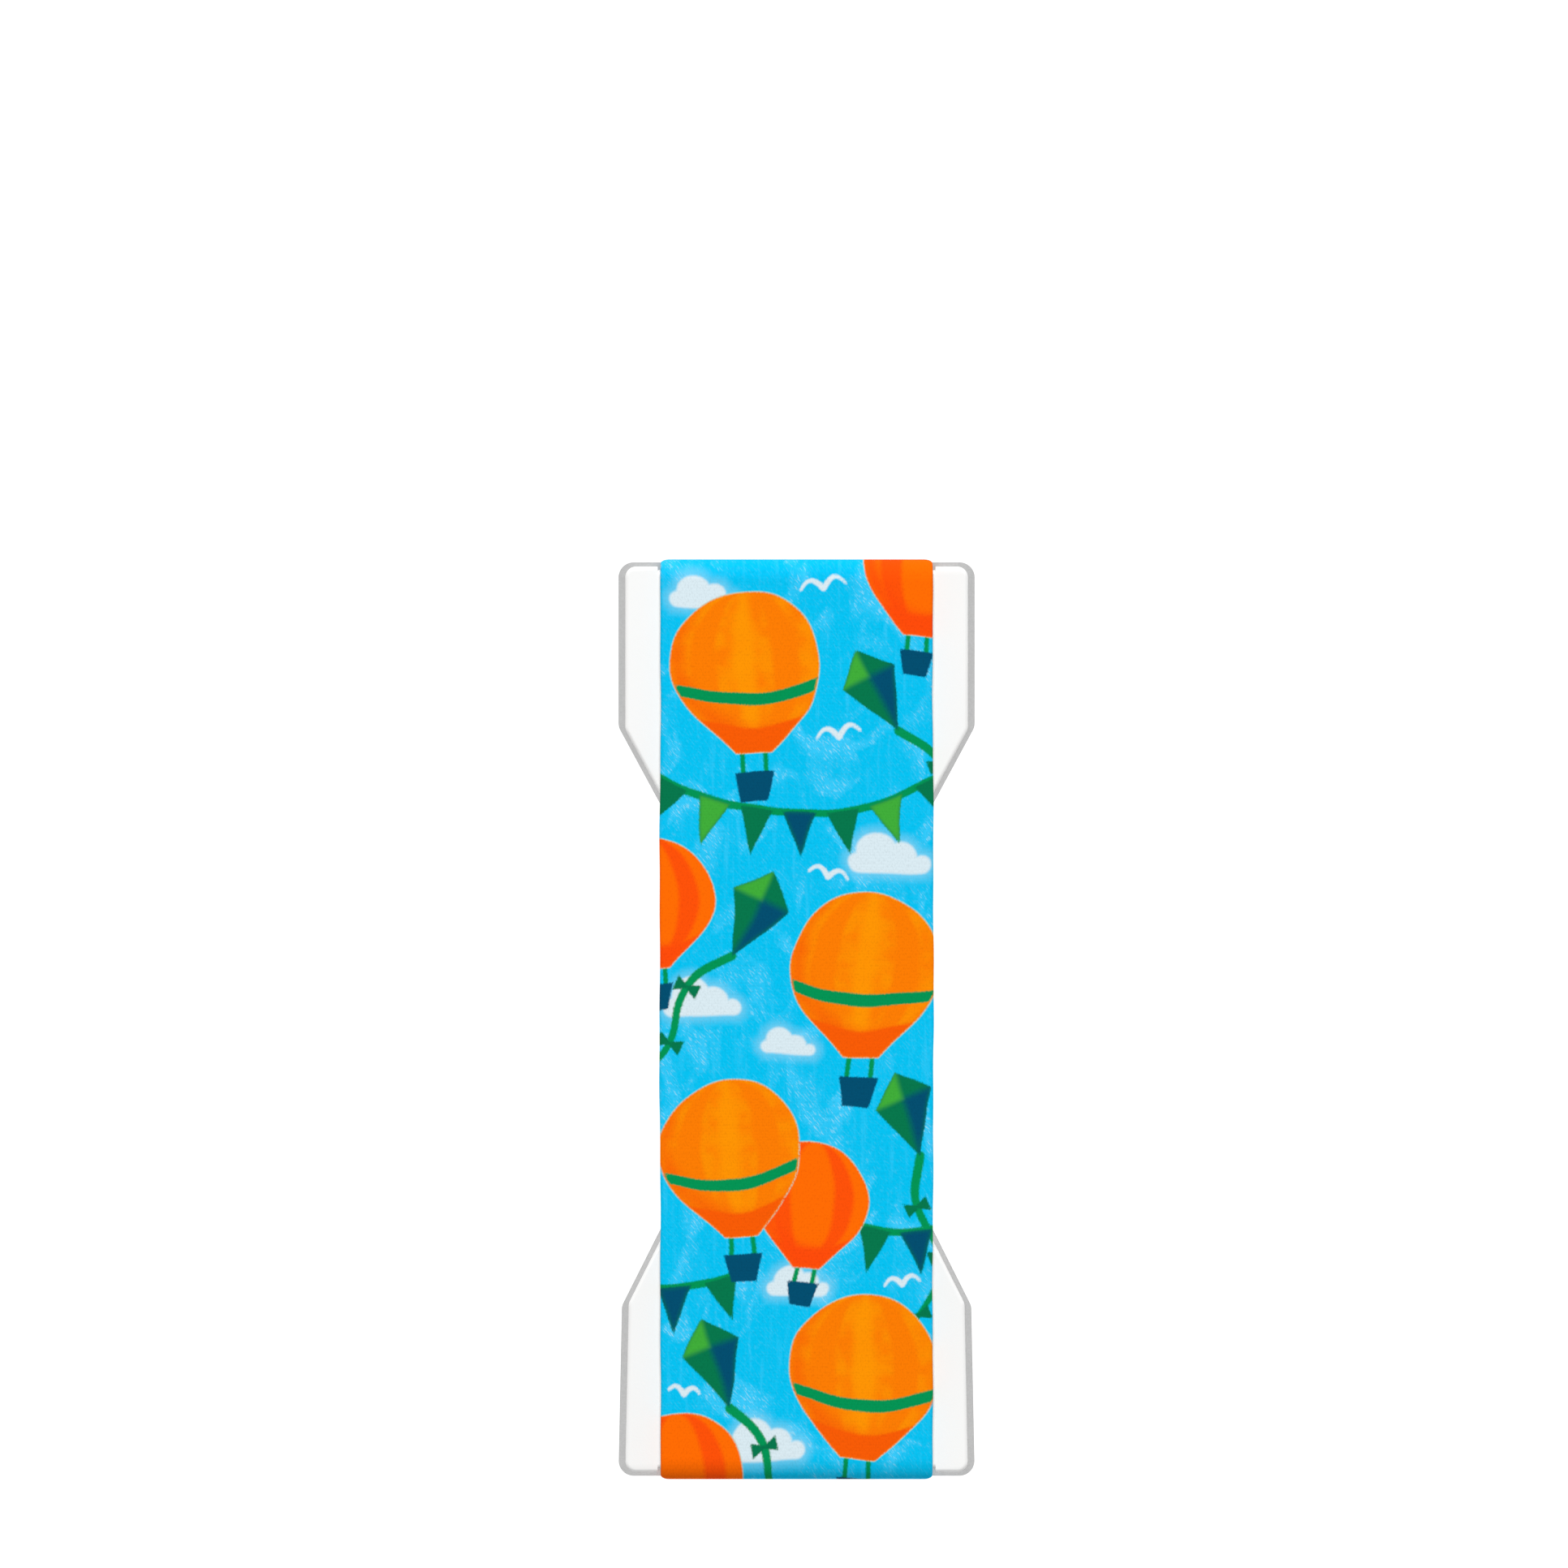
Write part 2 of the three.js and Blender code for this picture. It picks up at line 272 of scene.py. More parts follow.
class Recipe:
    """A material's nodes. Each call adds one node and returns its output, so a formula reads in order."""

    def __init__(self, name, roughness, specular=0.5, metallic=0.0, sheen=0.0, sheen_roughness=0.5):
        self.material = bpy.data.materials.new(name)
        self.material.use_nodes = True
        self.tree = self.material.node_tree
        self.surface = self.tree.nodes["Principled BSDF"]
        self.surface.inputs["Roughness"].default_value = roughness
        self.surface.inputs["Specular IOR Level"].default_value = specular
        self.surface.inputs["Metallic"].default_value = metallic
        self.surface.inputs["Sheen Weight"].default_value = sheen
        self.surface.inputs["Sheen Roughness"].default_value = sheen_roughness

    def add(self, kind, **settings):
        """A new node with the given settings."""
        node = self.tree.nodes.new(kind)
        for name, value in settings.items():
            setattr(node, name, value)
        return node

    def feed(self, socket, value):
        """Links a socket to another's output, or sets its constant."""
        if isinstance(value, bpy.types.NodeSocket):
            self.tree.links.new(value, socket)
        elif hasattr(value, "__len__") and len(value) == 3 and socket.type == "RGBA":
            socket.default_value = (*value, 1.0)
        else:
            socket.default_value = value

    def math(self, operation, *values):
        """The result of one arithmetic operation on the values."""
        node = self.add("ShaderNodeMath", operation=operation)
        for socket, value in zip(node.inputs, values):
            self.feed(socket, value)
        return node.outputs[0]

    def ramp(self, value, low, high):
        """0 below low, 1 above high and a smooth step between. With low above high it falls instead."""
        node = self.add("ShaderNodeMapRange", interpolation_type="SMOOTHSTEP")
        for name, number in (("Value", value), ("From Min", low), ("From Max", high)):
            self.feed(node.inputs[name], number)
        return node.outputs["Result"]

    def mix(self, share, under, over, blend="MIX"):
        """One colour laid over another by a share."""
        node = self.add("ShaderNodeMix", data_type="RGBA", blend_type=blend)
        sockets = (node.inputs["Factor"], node.inputs[6], node.inputs[7])
        for socket, value in zip(sockets, (share, under, over)):
            self.feed(socket, value)
        return node.outputs[2]

    def scaled(self, vector, scale, turn=0.0):
        """The vector turned about Z by the negative angle, and then scaled."""
        node = self.add("ShaderNodeMapping", vector_type="TEXTURE")
        self.feed(node.inputs["Vector"], vector)
        node.inputs["Rotation"].default_value = (0.0, 0.0, np.radians(turn))
        node.inputs["Scale"].default_value = [1 / share for share in scale]
        return node.outputs[0]

    def noise(self, vector, scale=1.0, detail=2.0, distortion=0.0):
        """Fractal noise about one half."""
        node = self.add("ShaderNodeTexNoise")
        self.feed(node.inputs["Vector"], vector)
        node.inputs["Scale"].default_value = scale
        node.inputs["Detail"].default_value = detail
        node.inputs["Distortion"].default_value = distortion
        return node.outputs["Fac"]

    def wave(self, coordinate, pitch):
        """From 0 to 1 and back over each pitch of a coordinate."""
        turns = self.math("MULTIPLY", coordinate, 2 * np.pi / pitch)
        return self.math("MULTIPLY_ADD", self.math("SINE", turns), 0.5, 0.5)

    def attribute(self, name):
        """The number that the mesh stores under a name."""
        return self.add("ShaderNodeAttribute", attribute_name=name).outputs["Fac"]

    def bump(self, height, distance, strength=1.0):
        """Tilts the surface's shading as if it rose by the height times the distance."""
        node = self.add("ShaderNodeBump")
        self.feed(node.inputs["Height"], height)
        node.inputs["Distance"].default_value = distance
        node.inputs["Strength"].default_value = strength
        self.feed(self.surface.inputs["Normal"], node.outputs[0])

    def object_place(self):
        """The point in the object's own frame, in metres."""
        return self.add("ShaderNodeTexCoord").outputs["Object"]


# Print, drawn flat. Each function gives the distance in millimetres from an outline, negative inside it.


def turned(x, y, degrees):
    """The plane seen from a frame that is turned anticlockwise by the angle."""
    angle = np.radians(degrees)
    return np.cos(angle) * x + np.sin(angle) * y, np.cos(angle) * y - np.sin(angle) * x


def disc(x, y, radius):
    """Distance from the centre, less the radius."""
    return np.hypot(x, y) - radius


def drop_outline(x, y, large, small, reach):
    """A large circle, a small one below it and their two common tangents, as one outline."""
    x = np.abs(x)
    lean = (large - small) / reach
    rise = np.sqrt(1 - lean * lean)
    along = -lean * x - rise * y
    flank = rise * x - lean * y - large
    below = np.where(along > rise * reach, disc(x, y + reach, small), flank)
    return np.where(along < 0, disc(x, y, large), below)


def convex(x, y, corners):
    """A convex outline: the distance from the edge line that the point is furthest outside of."""
    distances = [
        ((by - ay) * (x - ax) - (bx - ax) * (y - ay)) / np.hypot(bx - ax, by - ay)
        for (ax, ay), (bx, by) in zip(corners, corners[1:] + corners[:1])
    ]
    return np.maximum.reduce(distances)


def stroke(x, y, line_x, line_y, start_width, end_width):
    """A drawn line: the distance from its nearest stretch, less half a width that changes along it."""
    nearest = np.full(np.shape(x), np.inf)
    steps = len(line_x) - 1
    for i in range(steps):
        dx = line_x[i + 1] - line_x[i]
        dy = line_y[i + 1] - line_y[i]
        share = np.clip(((x - line_x[i]) * dx + (y - line_y[i]) * dy) / (dx * dx + dy * dy), 0, 1)
        width = start_width + (end_width - start_width) * (i + share) / steps
        reach = np.hypot(x - line_x[i] - share * dx, y - line_y[i] - share * dy)
        nearest = np.minimum(nearest, reach - width / 2)
    return nearest


def balloon(x, y, radius):
    """A hot-air balloon, its gores told apart by a point's share of the envelope's half width there."""
    mouth = 0.17 * radius
    reach = 1.2 * radius
    envelope = np.maximum(drop_outline(x, y, radius, mouth, reach), -(y + reach))
    lean = (radius - mouth) / reach
    flank_half = (radius + lean * y) / np.sqrt(1 - lean * lean)
    round_half = np.sqrt(np.clip(radius**2 - y**2, 0, None))
    half = np.maximum(np.where(y > -radius * lean, round_half, flank_half), 0.3)
    share = x / half
    within = envelope + 0.05
    ropes = stroke(np.abs(x), y, (0.9 * mouth, 0.16 * radius), (-reach, -1.52 * radius), 0.5, 0.5)
    basket_y = y + 1.66 * radius
    basket_half = 0.19 * radius + 0.22 * basket_y
    return {
        "envelope": envelope,
        "gore": np.maximum(within, (np.abs(np.abs(share) - 0.56) - 0.17) * half),
        "glow": np.maximum(within, (np.abs(share) - 0.14) * half),
        "skirt": np.maximum(within, y + (0.86 - 0.16 * share**2) * radius),
        "shade": np.maximum(within, -disc(x - 0.2 * radius, y - 0.16 * radius, 1.02 * radius)),
        "belt": np.maximum(envelope + 0.12, np.abs(y + (0.46 - 0.16 * share**2) * radius) - 0.085 * radius),
        "string": ropes,
        "basket": np.maximum(np.abs(x) - basket_half, np.abs(basket_y) - 0.17 * radius) - 0.25,
    }


def kite(x, y, size, sway):
    """A kite of four panels with a curved tail: a straight fall bent by a sine and by a square law."""
    side, top, waist, foot = 0.33 * size, 0.42 * size, 0.1 * size, -0.58 * size
    sail = convex(x, y, [(0, foot), (side, waist), (0, top), (-side, waist)])
    t = np.linspace(0, 1, 26)
    tail_x = sway * size * (0.2 * np.sin(2 * np.pi * t) + 0.9 * t**2)
    tail_y = foot - 1.9 * size * t
    bows = [
        np.maximum(np.abs(y - tail_y[i]) - 0.16 - 0.5 * np.abs(x - tail_x[i]), np.abs(x - tail_x[i]) - 1.3)
        for i in (7, 15, 23)
    ]
    return {
        "green": np.minimum(sail, np.minimum.reduce(bows)),
        "dark": np.maximum.reduce([sail, -x, y - waist]),
        "light": np.maximum.reduce([sail, x, waist - y]),
        "string": stroke(x, y, tail_x, tail_y, 0.95, 0.55),
    }


def bunting(x, y, span, sag, flags, first):
    """A line that sags as a parabola, with green flags square to it, some with another ink on top."""
    t = np.linspace(-1, 1, 31)
    inks = ("green", "light", "green", "dark")
    drawn = {"string": stroke(x, y, 0.5 * span * t, sag * (t * t - 1), 0.8, 0.8)}
    for i in range(flags):
        place = -1 + (2 * i + 1) / flags
        slope = np.degrees(np.arctan2(4 * sag * place, span))
        flag_x, flag_y = turned(x - 0.5 * span * place, y - sag * (place**2 - 1), slope)
        flag = convex(flag_x, flag_y, [(0, -4.6), (1.7, 0.1), (-1.7, 0.1)])
        for name in ("green", inks[(i + first) % len(inks)]):
            drawn[name] = np.minimum(drawn.get(name, np.inf), flag)
    return drawn


def cloud(x, y, size):
    """Discs that stand on one line, with a bar along their feet."""
    puffs = [(-0.38, 0.12), (-0.14, 0.25), (0.15, 0.19), (0.39, 0.11)]
    discs = [disc(x - place * size, y - radius * size, radius * size) for place, radius in puffs]
    bar = np.maximum(np.abs(x) - 0.38 * size, np.abs(y - 0.08 * size) - 0.08 * size)
    return {"cloud": np.minimum.reduce([*discs, bar])}


def bird(x, y, size):
    """Two wings that arch up and droop to their tips."""
    t = np.linspace(0, 1, 9)
    wing_y = size * (0.24 * np.sin(0.9 * np.pi * t) - 0.03)
    return {"bird": stroke(np.abs(x), y, 0.5 * size * t, wing_y, 0.6, 0.3)}


# Where each motif lies on the print: across, along, size and what else its function takes. The last number
# of a balloon, a kite or a bird is its lean in degrees.
NEAR_BALLOONS = [(-5.2, 36.6, 7.7, 4), (7.2, 5.4, 7.7, -5), (-6.8, -13.6, 7.3, 6), (6.9, -36.2, 7.7, -3)]
FAR_BALLOONS = [(13.2, 47.4, 6.4, -4), (-14.8, 12.6, 6.2, 3), (1.6, -18.6, 5.8, -6), (-11.8, -46.9, 6.4, 8)]
KITES = [
    (8.0, 34.4, 9.2, 1, 26),
    (-4.2, 11.6, 9.6, -1, -26),
    (11.2, -9.0, 9.0, -1, 20),
    (-8.6, -34.8, 9.4, 1, 16),
]
BUNTINGS = [(0.5, 25.6, 31.0, 4.4, 7, 0), (10.0, -19.4, 17.0, 2.6, 4, 1), (-12.5, -26.0, 14.0, 1.8, 3, 2)]
CLOUDS = [
    (-9.8, 42.5, 7.0),
    (9.6, 15.2, 8.6),
    (-9.6, 0.2, 8.0),
    (-1.0, -3.6, 5.6),
    (0.2, -28.4, 6.4),
    (-3.4, -45.6, 8.6),
]
BIRDS = [
    (2.6, 44.4, 4.6, 10),
    (3.2, 14.6, 4.0, -12),
    (4.2, 29.4, 4.4, 8),
    (11.0, -27.5, 3.6, 10),
    (-11.8, -38.4, 3.2, -8),
]


def print_layers(u, v):
    """Every ink's distance at points of the unrolled band: for each ink the nearest of its motifs.

    The plane is first bent a little by slow sines, so that outlines look drawn by hand.
    """
    across = u + 0.2 * np.sin(0.37 * v + 0.4) + 0.04 * np.sin(1.3 * v + 0.5 * u)
    along = v + 0.2 * np.sin(0.33 * u + 0.21 * v + 1.0) + 0.04 * np.sin(1.15 * u - 0.4 * v)
    layers = {}

    def draw(parts, prefix=""):
        for name, distance in parts.items():
            layers[prefix + name] = np.minimum(layers.get(prefix + name, np.inf), distance)

    for x, y, radius, lean in NEAR_BALLOONS:
        draw(balloon(*turned(across - x, along - y, lean), radius))
    for x, y, radius, lean in FAR_BALLOONS:
        parts = balloon(*turned(across - x, along - y, lean), radius)
        draw({name: parts[name] for name in ("string", "basket")})
        draw({"envelope": parts["envelope"], "shade": parts["shade"]}, "far_")
        draw({"gore": np.minimum(parts["gore"], parts["skirt"])}, "far_")
    for x, y, size, sway, lean in KITES:
        draw(kite(*turned(across - x, along - y, lean), size, sway))
    for x, y, span, sag, flags, first in BUNTINGS:
        draw(bunting(across - x, along - y, span, sag, flags, first))
    for x, y, size in CLOUDS:
        draw(cloud(across - x, along - y, size))
    for x, y, size, lean in BIRDS:
        draw(bird(*turned(across - x, along - y, lean), size))
    return {name: np.clip(distance, -PRINT_REACH, PRINT_REACH) for name, distance in layers.items()}


# Elastic band


class BandPath:
    """The band's centreline seen from the side: two half circles, the run over them and two tails."""

    def __init__(self, sizes):
        low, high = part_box("elastic_band")
        points = vertices_of(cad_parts["elastic_band"].data)
        self.half_width = high.x
        self.half_thickness = sizes.thickness / 2
        self.axis_z = (low.z + high.z) / 2
        self.radius = (high.z - low.z) / 2 - self.half_thickness
        self.end_y = high.y
        self.axis_y = self.end_y - self.radius - self.half_thickness
        below = points[:, 2] < self.axis_z
        self.tail_y = float(np.abs(points[below, 1]).min())
        self.turn = np.pi * self.radius
        self.half_length = self.axis_y + self.turn + self.axis_y - self.tail_y

    def rows(self, run_rows, turn_rows, tail_rows):
        """Places of the rows, measured along the centreline from the middle of the top run."""
        stops = (self.axis_y, self.axis_y + self.turn, self.half_length)
        run = np.linspace(-stops[0], stops[0], run_rows + 1)
        turn = np.linspace(stops[0], stops[1], turn_rows + 1)[1:]
        tail = np.linspace(stops[1], stops[2], tail_rows + 1)[1:]
        side = np.concatenate([turn, tail])
        return np.concatenate([-side[::-1], run, side])

    def at(self, place):
        """Centre and outward direction at a place, as (y, z) pairs.

        Along the path the circle's centre slides out, waits while the direction turns by half a circle, and
        slides back, so both are broken lines in the place.
        """
        stops = np.array([self.axis_y, self.axis_y + self.turn, self.half_length])
        knots = np.concatenate([-stops[::-1], stops])
        centres = np.array([-self.tail_y, -self.axis_y, -self.axis_y, self.axis_y, self.axis_y, self.tail_y])
        angles = np.array([1.5, 1.5, 0.5, 0.5, -0.5, -0.5]) * np.pi
        angle = np.interp(place, knots, angles)
        outward = np.stack([np.cos(angle), np.sin(angle)], axis=-1)
        hub = np.interp(place, knots, centres)[:, None] * [1, 0] + [0, self.axis_z]
        return hub + self.radius * outward, outward

    def unrolled(self, points):
        """Across, along and outward offset of points in metres: the mapping of at() undone."""
        over = np.abs(points[:, 1])
        drop = points[:, 2] - self.axis_z
        beyond = np.maximum(over - self.axis_y, 0)
        angle = np.where(drop > 0, 0, np.pi)
        angle = np.where(beyond > 0, np.arctan2(beyond, drop), angle)
        back = np.where((beyond == 0) & (drop < 0), self.axis_y - over, 0)
        along = np.minimum(over, self.axis_y) + self.radius * angle + 2 * back
        return points[:, 0], np.sign(points[:, 1]) * along, np.hypot(beyond, drop) - self.radius


def webbing_section(half_width, half_thickness, edge_radius, outer_columns):
    """The webbing's section: across and outward offsets round a rectangle with round corners.

    Goes right over the printed side, round the right selvedge, back under the plain side and up the left
    selvedge. The plain side has a fifth of the printed side's faces.
    """
    flat = half_width - edge_radius
    rise = half_thickness - edge_radius
    quarter = np.linspace(0, np.pi / 2, 6)
    turn_x = edge_radius * np.sin(quarter)
    turn_n = edge_radius * np.cos(quarter)
    outer = np.linspace(-flat, flat, outer_columns + 1)[1:-1]
    inner = np.linspace(flat, -flat, outer_columns // 5 + 1)[1:-1]
    right = np.concatenate([flat + turn_x, flat + turn_x[::-1]])
    down = np.concatenate([rise + turn_n, -rise - turn_n[::-1]])
    printed = np.full(len(outer), half_thickness)
    plain = np.full(len(inner), -half_thickness)
    return np.concatenate([outer, right, inner, -right]), np.concatenate([printed, down, plain, -down])


def band_grid(path, sizes):
    """The band's skin: its section carried along the hairpin.

    Slow sines in the place move each selvedge and lift the printed side, and a bell curve widens the free
    middle. Above the fold's axis the half circle is pressed down to a longer quarter ellipse, by the ratio
    of their heights, and the fold's ends are drawn in along a quarter circle.
    """
    place = path.rows(sizes.run_rows, sizes.turn_rows, sizes.tail_rows)
    centre, direction = path.at(place)
    columns = sizes.outer_columns
    across, outward = webbing_section(path.half_width, path.half_thickness, sizes.edge_radius, columns)
    v = place / MM
    free = np.exp(-((v - 4) / 22) ** 4)
    swell = sizes.middle_swell * free
    right = swell + sizes.edge_wander * (0.6 * np.sin(0.31 * v + 0.7) + 0.4 * np.sin(0.83 * v + 2.1))
    left = swell + sizes.edge_wander * (0.6 * np.sin(0.27 * v + 2.9) + 0.4 * np.sin(0.71 * v + 0.4))
    share = (across / path.half_width + 1) / 2
    x = across + share * right[:, None] - (1 - share) * left[:, None]
    u = across / MM
    wave = 0.5 * np.sin(0.42 * u + 0.23 * v[:, None]) + 0.5 * np.sin(0.19 * v[:, None] - 0.33 * u + 1.3)
    lift = sizes.surface_wave * wave * free[:, None] * (outward > 0)
    offset = outward + lift
    y = centre[:, :1] + direction[:, :1] * offset
    z = centre[:, 1:] + direction[:, 1:] * offset
    fold_radius = path.end_y - path.axis_y
    circle = np.sqrt(1 - (np.clip(np.abs(y) - path.axis_y, 0, fold_radius) / fold_radius) ** 2)
    bow = np.clip(np.abs(y) - (path.end_y - sizes.fold_reach), 0, sizes.fold_reach) / sizes.fold_reach
    tip_ratio = np.sqrt(fold_radius / sizes.fold_reach)
    pressed = np.where(circle < 0.01, tip_ratio, np.sqrt(1 - bow**2) / np.maximum(circle, 0.01))
    z = np.where(z > path.axis_z, path.axis_z + (z - path.axis_z) * pressed, z)
    radius = sizes.corner_radius
    reach = np.clip(np.abs(y) - (path.end_y - radius), 0, radius)
    drawn_in = radius - np.sqrt(radius**2 - reach**2)
    x = x * (1 - drawn_in / path.half_width)
    return np.stack([x, y, z], axis=-1)


def punch_post_holes(band, sizes):
    """Cuts a row of round holes in each tail, where the plate's posts pass."""
    ring_points = 24
    angle = np.linspace(0, 2 * np.pi, ring_points, endpoint=False)
    low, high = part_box("elastic_band")
    middle_z = (low.z + high.z) / 2
    cutters = []
    for node in ("upper_clamp_bar", "lower_clamp_bar"):
        bar_low, bar_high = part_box(node)
        row_y = (bar_low.y + bar_high.y) / 2
        for i in range(sizes.post_count):
            post_x = (i - (sizes.post_count - 1) / 2) * sizes.post_spacing
            ring_x = post_x + sizes.post_hole_radius * np.cos(angle)
            ring_y = row_y + sizes.post_hole_radius * np.sin(angle)
            heights = (bar_low.z, middle_z)
            rings = [np.stack([ring_x, ring_y, np.full(ring_points, z)], axis=-1) for z in heights]
            cutter = bpy.data.objects.new("cutter", closed_skin("cutter", np.stack(rings)))
            bpy.context.scene.collection.objects.link(cutter)
            cutters.append(cutter)
            cut = band.modifiers.new("post hole", "BOOLEAN")
            cut.object = cutter
            cut.solver = "EXACT"
    bpy.context.view_layer.update()
    graph = bpy.context.evaluated_depsgraph_get()
    cut_mesh = bpy.data.meshes.new_from_object(band.evaluated_get(graph))
    band.modifiers.clear()
    band.data = cut_mesh
    cut_mesh.name = band.name
    for cutter in cutters:
        bpy.data.objects.remove(cutter)


def lay_print(mesh, path):
    """Gives the mesh its unrolled UV map, and each ink's distance and the outward offset as attributes."""
    across, along, outward = path.unrolled(vertices_of(mesh))
    layers = print_layers(across / MM, along / MM)
    layers["outward"] = outward / MM
    for name, values in layers.items():
        mesh.attributes.new(name, "FLOAT", "POINT").data.foreach_set("value", values.astype(np.float32))
    corners = np.empty(len(mesh.loops), np.int32)
    mesh.loops.foreach_get("vertex_index", corners)
    share = np.stack([across / path.half_width, along / path.half_length], axis=-1)[corners] / 2 + 0.5
    mesh.uv_layers.new(name="cloth").data.foreach_set("uv", share.astype(np.float32).ravel())


def printed_elastic(inks, path):
    """Woven elastic with inks laid one over another, each up to its outline with a soft, fibrous edge."""
    cloth = Recipe("printed_elastic", roughness=0.9, specular=0.04, sheen=0.03, sheen_roughness=0.3)
    uv = cloth.add("ShaderNodeUVMap", uv_map="cloth").outputs[0]
    place = cloth.scaled(uv, (2 * path.half_width / MM, 2 * path.half_length / MM, 1.0))
    across = cloth.add("ShaderNodeSeparateXYZ")
    cloth.feed(across.inputs[0], place)
    fibres = cloth.noise(cloth.scaled(place, (6.5, 3.4, 1.0)), detail=3.0)
    streaks = cloth.noise(cloth.scaled(place, (1.7, 0.13, 1.0)), detail=4.0)
    strokes = cloth.noise(cloth.scaled(place, (0.2, 0.14, 1.0)), detail=6.0, distortion=1.4)
    chalk = cloth.noise(cloth.scaled(place, (1.5, 6.5, 1.0), turn=-50.0), detail=2.0)
    clouding = cloth.noise(cloth.scaled(place, (0.34, 0.34, 1.0)), detail=3.0)
    bleed = cloth.math("MULTIPLY_ADD", fibres, 0.24, -0.12)

    def cover(name, grow=0.0, soft=0.13):
        """1 inside an ink's outline, 0 outside it."""
        distance = cloth.math("ADD", cloth.attribute(name), bleed)
        return cloth.ramp(distance, grow + soft, grow - soft)

    def lay(under, name, over, soft=0.13, strength=1.0, within=None):
        """Lays an ink over what is there, kept inside another ink's outline where one is given."""
        share = cover(name, soft=soft)
        if within:
            share = cloth.math("MULTIPLY", share, cover(within))
        if strength < 1:
            share = cloth.math("MULTIPLY", share, strength)
        return cloth.mix(share, under, over)

    brushed = cloth.ramp(strokes, 0.48, 0.7)
    streaked = cloth.math("MULTIPLY", cloth.ramp(streaks, 0.5, 0.76), 0.4)
    paleness = cloth.math("MAXIMUM", cloth.math("MULTIPLY", brushed, 0.8), streaked)
    colour = cloth.mix(paleness, inks.sky, inks.haze)
    fleck_share = cloth.math("MULTIPLY_ADD", brushed, 0.5, 0.04)
    flecks = cloth.math("MULTIPLY", cloth.ramp(chalk, 0.53, 0.68), fleck_share)
    colour = cloth.mix(flecks, colour, inks.frost)
    halo = cloth.math("MULTIPLY", cover("cloud", 0.5, 0.8), 0.3)
    colour = cloth.mix(halo, colour, inks.frost)
    colour = lay(colour, "cloud", inks.cloud, soft=0.2)
    colour = lay(colour, "bird", inks.cloud)
    colour = lay(colour, "string", inks.string)
    colour = lay(colour, "green", inks.green)
    colour = lay(colour, "dark", inks.dark, soft=0.55, within="green")
    colour = lay(colour, "light", inks.light, soft=0.4, within="green")
    bare = cloth.ramp(fibres, 0.34, 0.6)
    colour = cloth.mix(cloth.math("MULTIPLY", cover("far_envelope", 0.11, 0.09), bare), colour, inks.rim)
    colour = lay(colour, "far_envelope", inks.far_orange)
    colour = lay(colour, "far_gore", inks.far_red, soft=0.35, strength=0.8, within="far_envelope")
    colour = lay(colour, "far_shade", inks.far_red, soft=0.9, strength=0.8, within="far_envelope")
    colour = lay(colour, "basket", inks.dark)
    colour = cloth.mix(cloth.math("MULTIPLY", cover("envelope", 0.11, 0.09), bare), colour, inks.rim)
    near = cloth.mix(cloth.ramp(clouding, 0.35, 0.68), inks.orange, inks.gore)
    colour = lay(colour, "envelope", near)
    colour = lay(colour, "gore", inks.gore, soft=0.35, within="envelope")
    colour = lay(colour, "glow", inks.glow, soft=0.6, strength=0.8, within="envelope")
    colour = lay(colour, "skirt", inks.skirt, soft=0.25, within="envelope")
    colour = lay(colour, "shade", inks.skirt, soft=1.1, strength=0.7, within="envelope")
    colour = lay(colour, "belt", inks.string)
    grain = cloth.math("MULTIPLY", cloth.ramp(fibres, 0.55, 0.3), 0.15)
    colour = cloth.mix(grain, colour, ink(150, 150, 150), blend="MULTIPLY")
    worn = cloth.ramp(cloth.attribute("outward"), 0.05, -0.25)
    colour = cloth.mix(worn, colour, inks.yarn)
    cloth.feed(cloth.surface.inputs["Base Color"], colour)
    ribs = cloth.wave(across.outputs[0], 0.42)
    picks = cloth.wave(across.outputs[1], 0.3)
    weave = cloth.math("MULTIPLY_ADD", picks, 0.35, ribs)
    cloth.bump(cloth.math("MULTIPLY_ADD", fibres, 1.2, weave), distance=0.015 * MM, strength=0.6)
    return cloth.material


class STRAP_OT_band(bpy.types.Operator):
    """Makes the printed elastic band round the plate"""

    bl_idname = "strap.band"
    bl_label = "Elastic band"

    def execute(self, context):
        sizes = context.scene.strap_band
        path = BandPath(sizes)
        material = printed_elastic(context.scene.strap_inks, path)
        band = add_object(closed_skin("printed_band", band_grid(path, sizes)), material)
        punch_post_holes(band, sizes)
        lay_print(band.data, path)
        shade(band.data)
        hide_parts("elastic_band")
        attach(band, ROOT)
        return {"FINISHED"}


# Base plate


def moulded_plastic():
    """White satin plastic: a fine spark-eroded grain in relief and gloss, with a slow drift in tone."""
    plastic = Recipe("white_plastic", roughness=0.42, specular=0.45)
    place = plastic.object_place()
    drift = plastic.noise(place, scale=60.0, detail=2.0)
    grain = plastic.noise(place, scale=5200.0, detail=2.0)
    tone = plastic.mix(drift, ink(234, 234, 233), ink(238, 238, 237))
    plastic.feed(plastic.surface.inputs["Base Color"], tone)
    gloss = plastic.math("MULTIPLY_ADD", grain, 0.14, 0.36)
    plastic.feed(plastic.surface.inputs["Roughness"], gloss)
    plastic.bump(grain, distance=0.012 * MM, strength=0.5)
    return plastic.material


class STRAP_OT_plate(bpy.types.Operator):
    """Dresses the base plate with smooth rounds and moulded plastic"""

    bl_idname = "strap.plate"
    bl_label = "Base plate"

    def execute(self, context):
        dress("base_plate", moulded_plastic())
        return {"FINISHED"}


# Foam pad


def outline_of(node, height):
    """The node's outline at a height, anticlockwise: its points there in the order of their direction."""
    points = vertices_of(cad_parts[node].data)
    level = points[np.abs(points[:, 2] - height) < SAME_POINT][:, :2]
    level = np.unique(np.round(level, 8), axis=0)
    return level[np.argsort(np.arctan2(level[:, 1], level[:, 0]))]


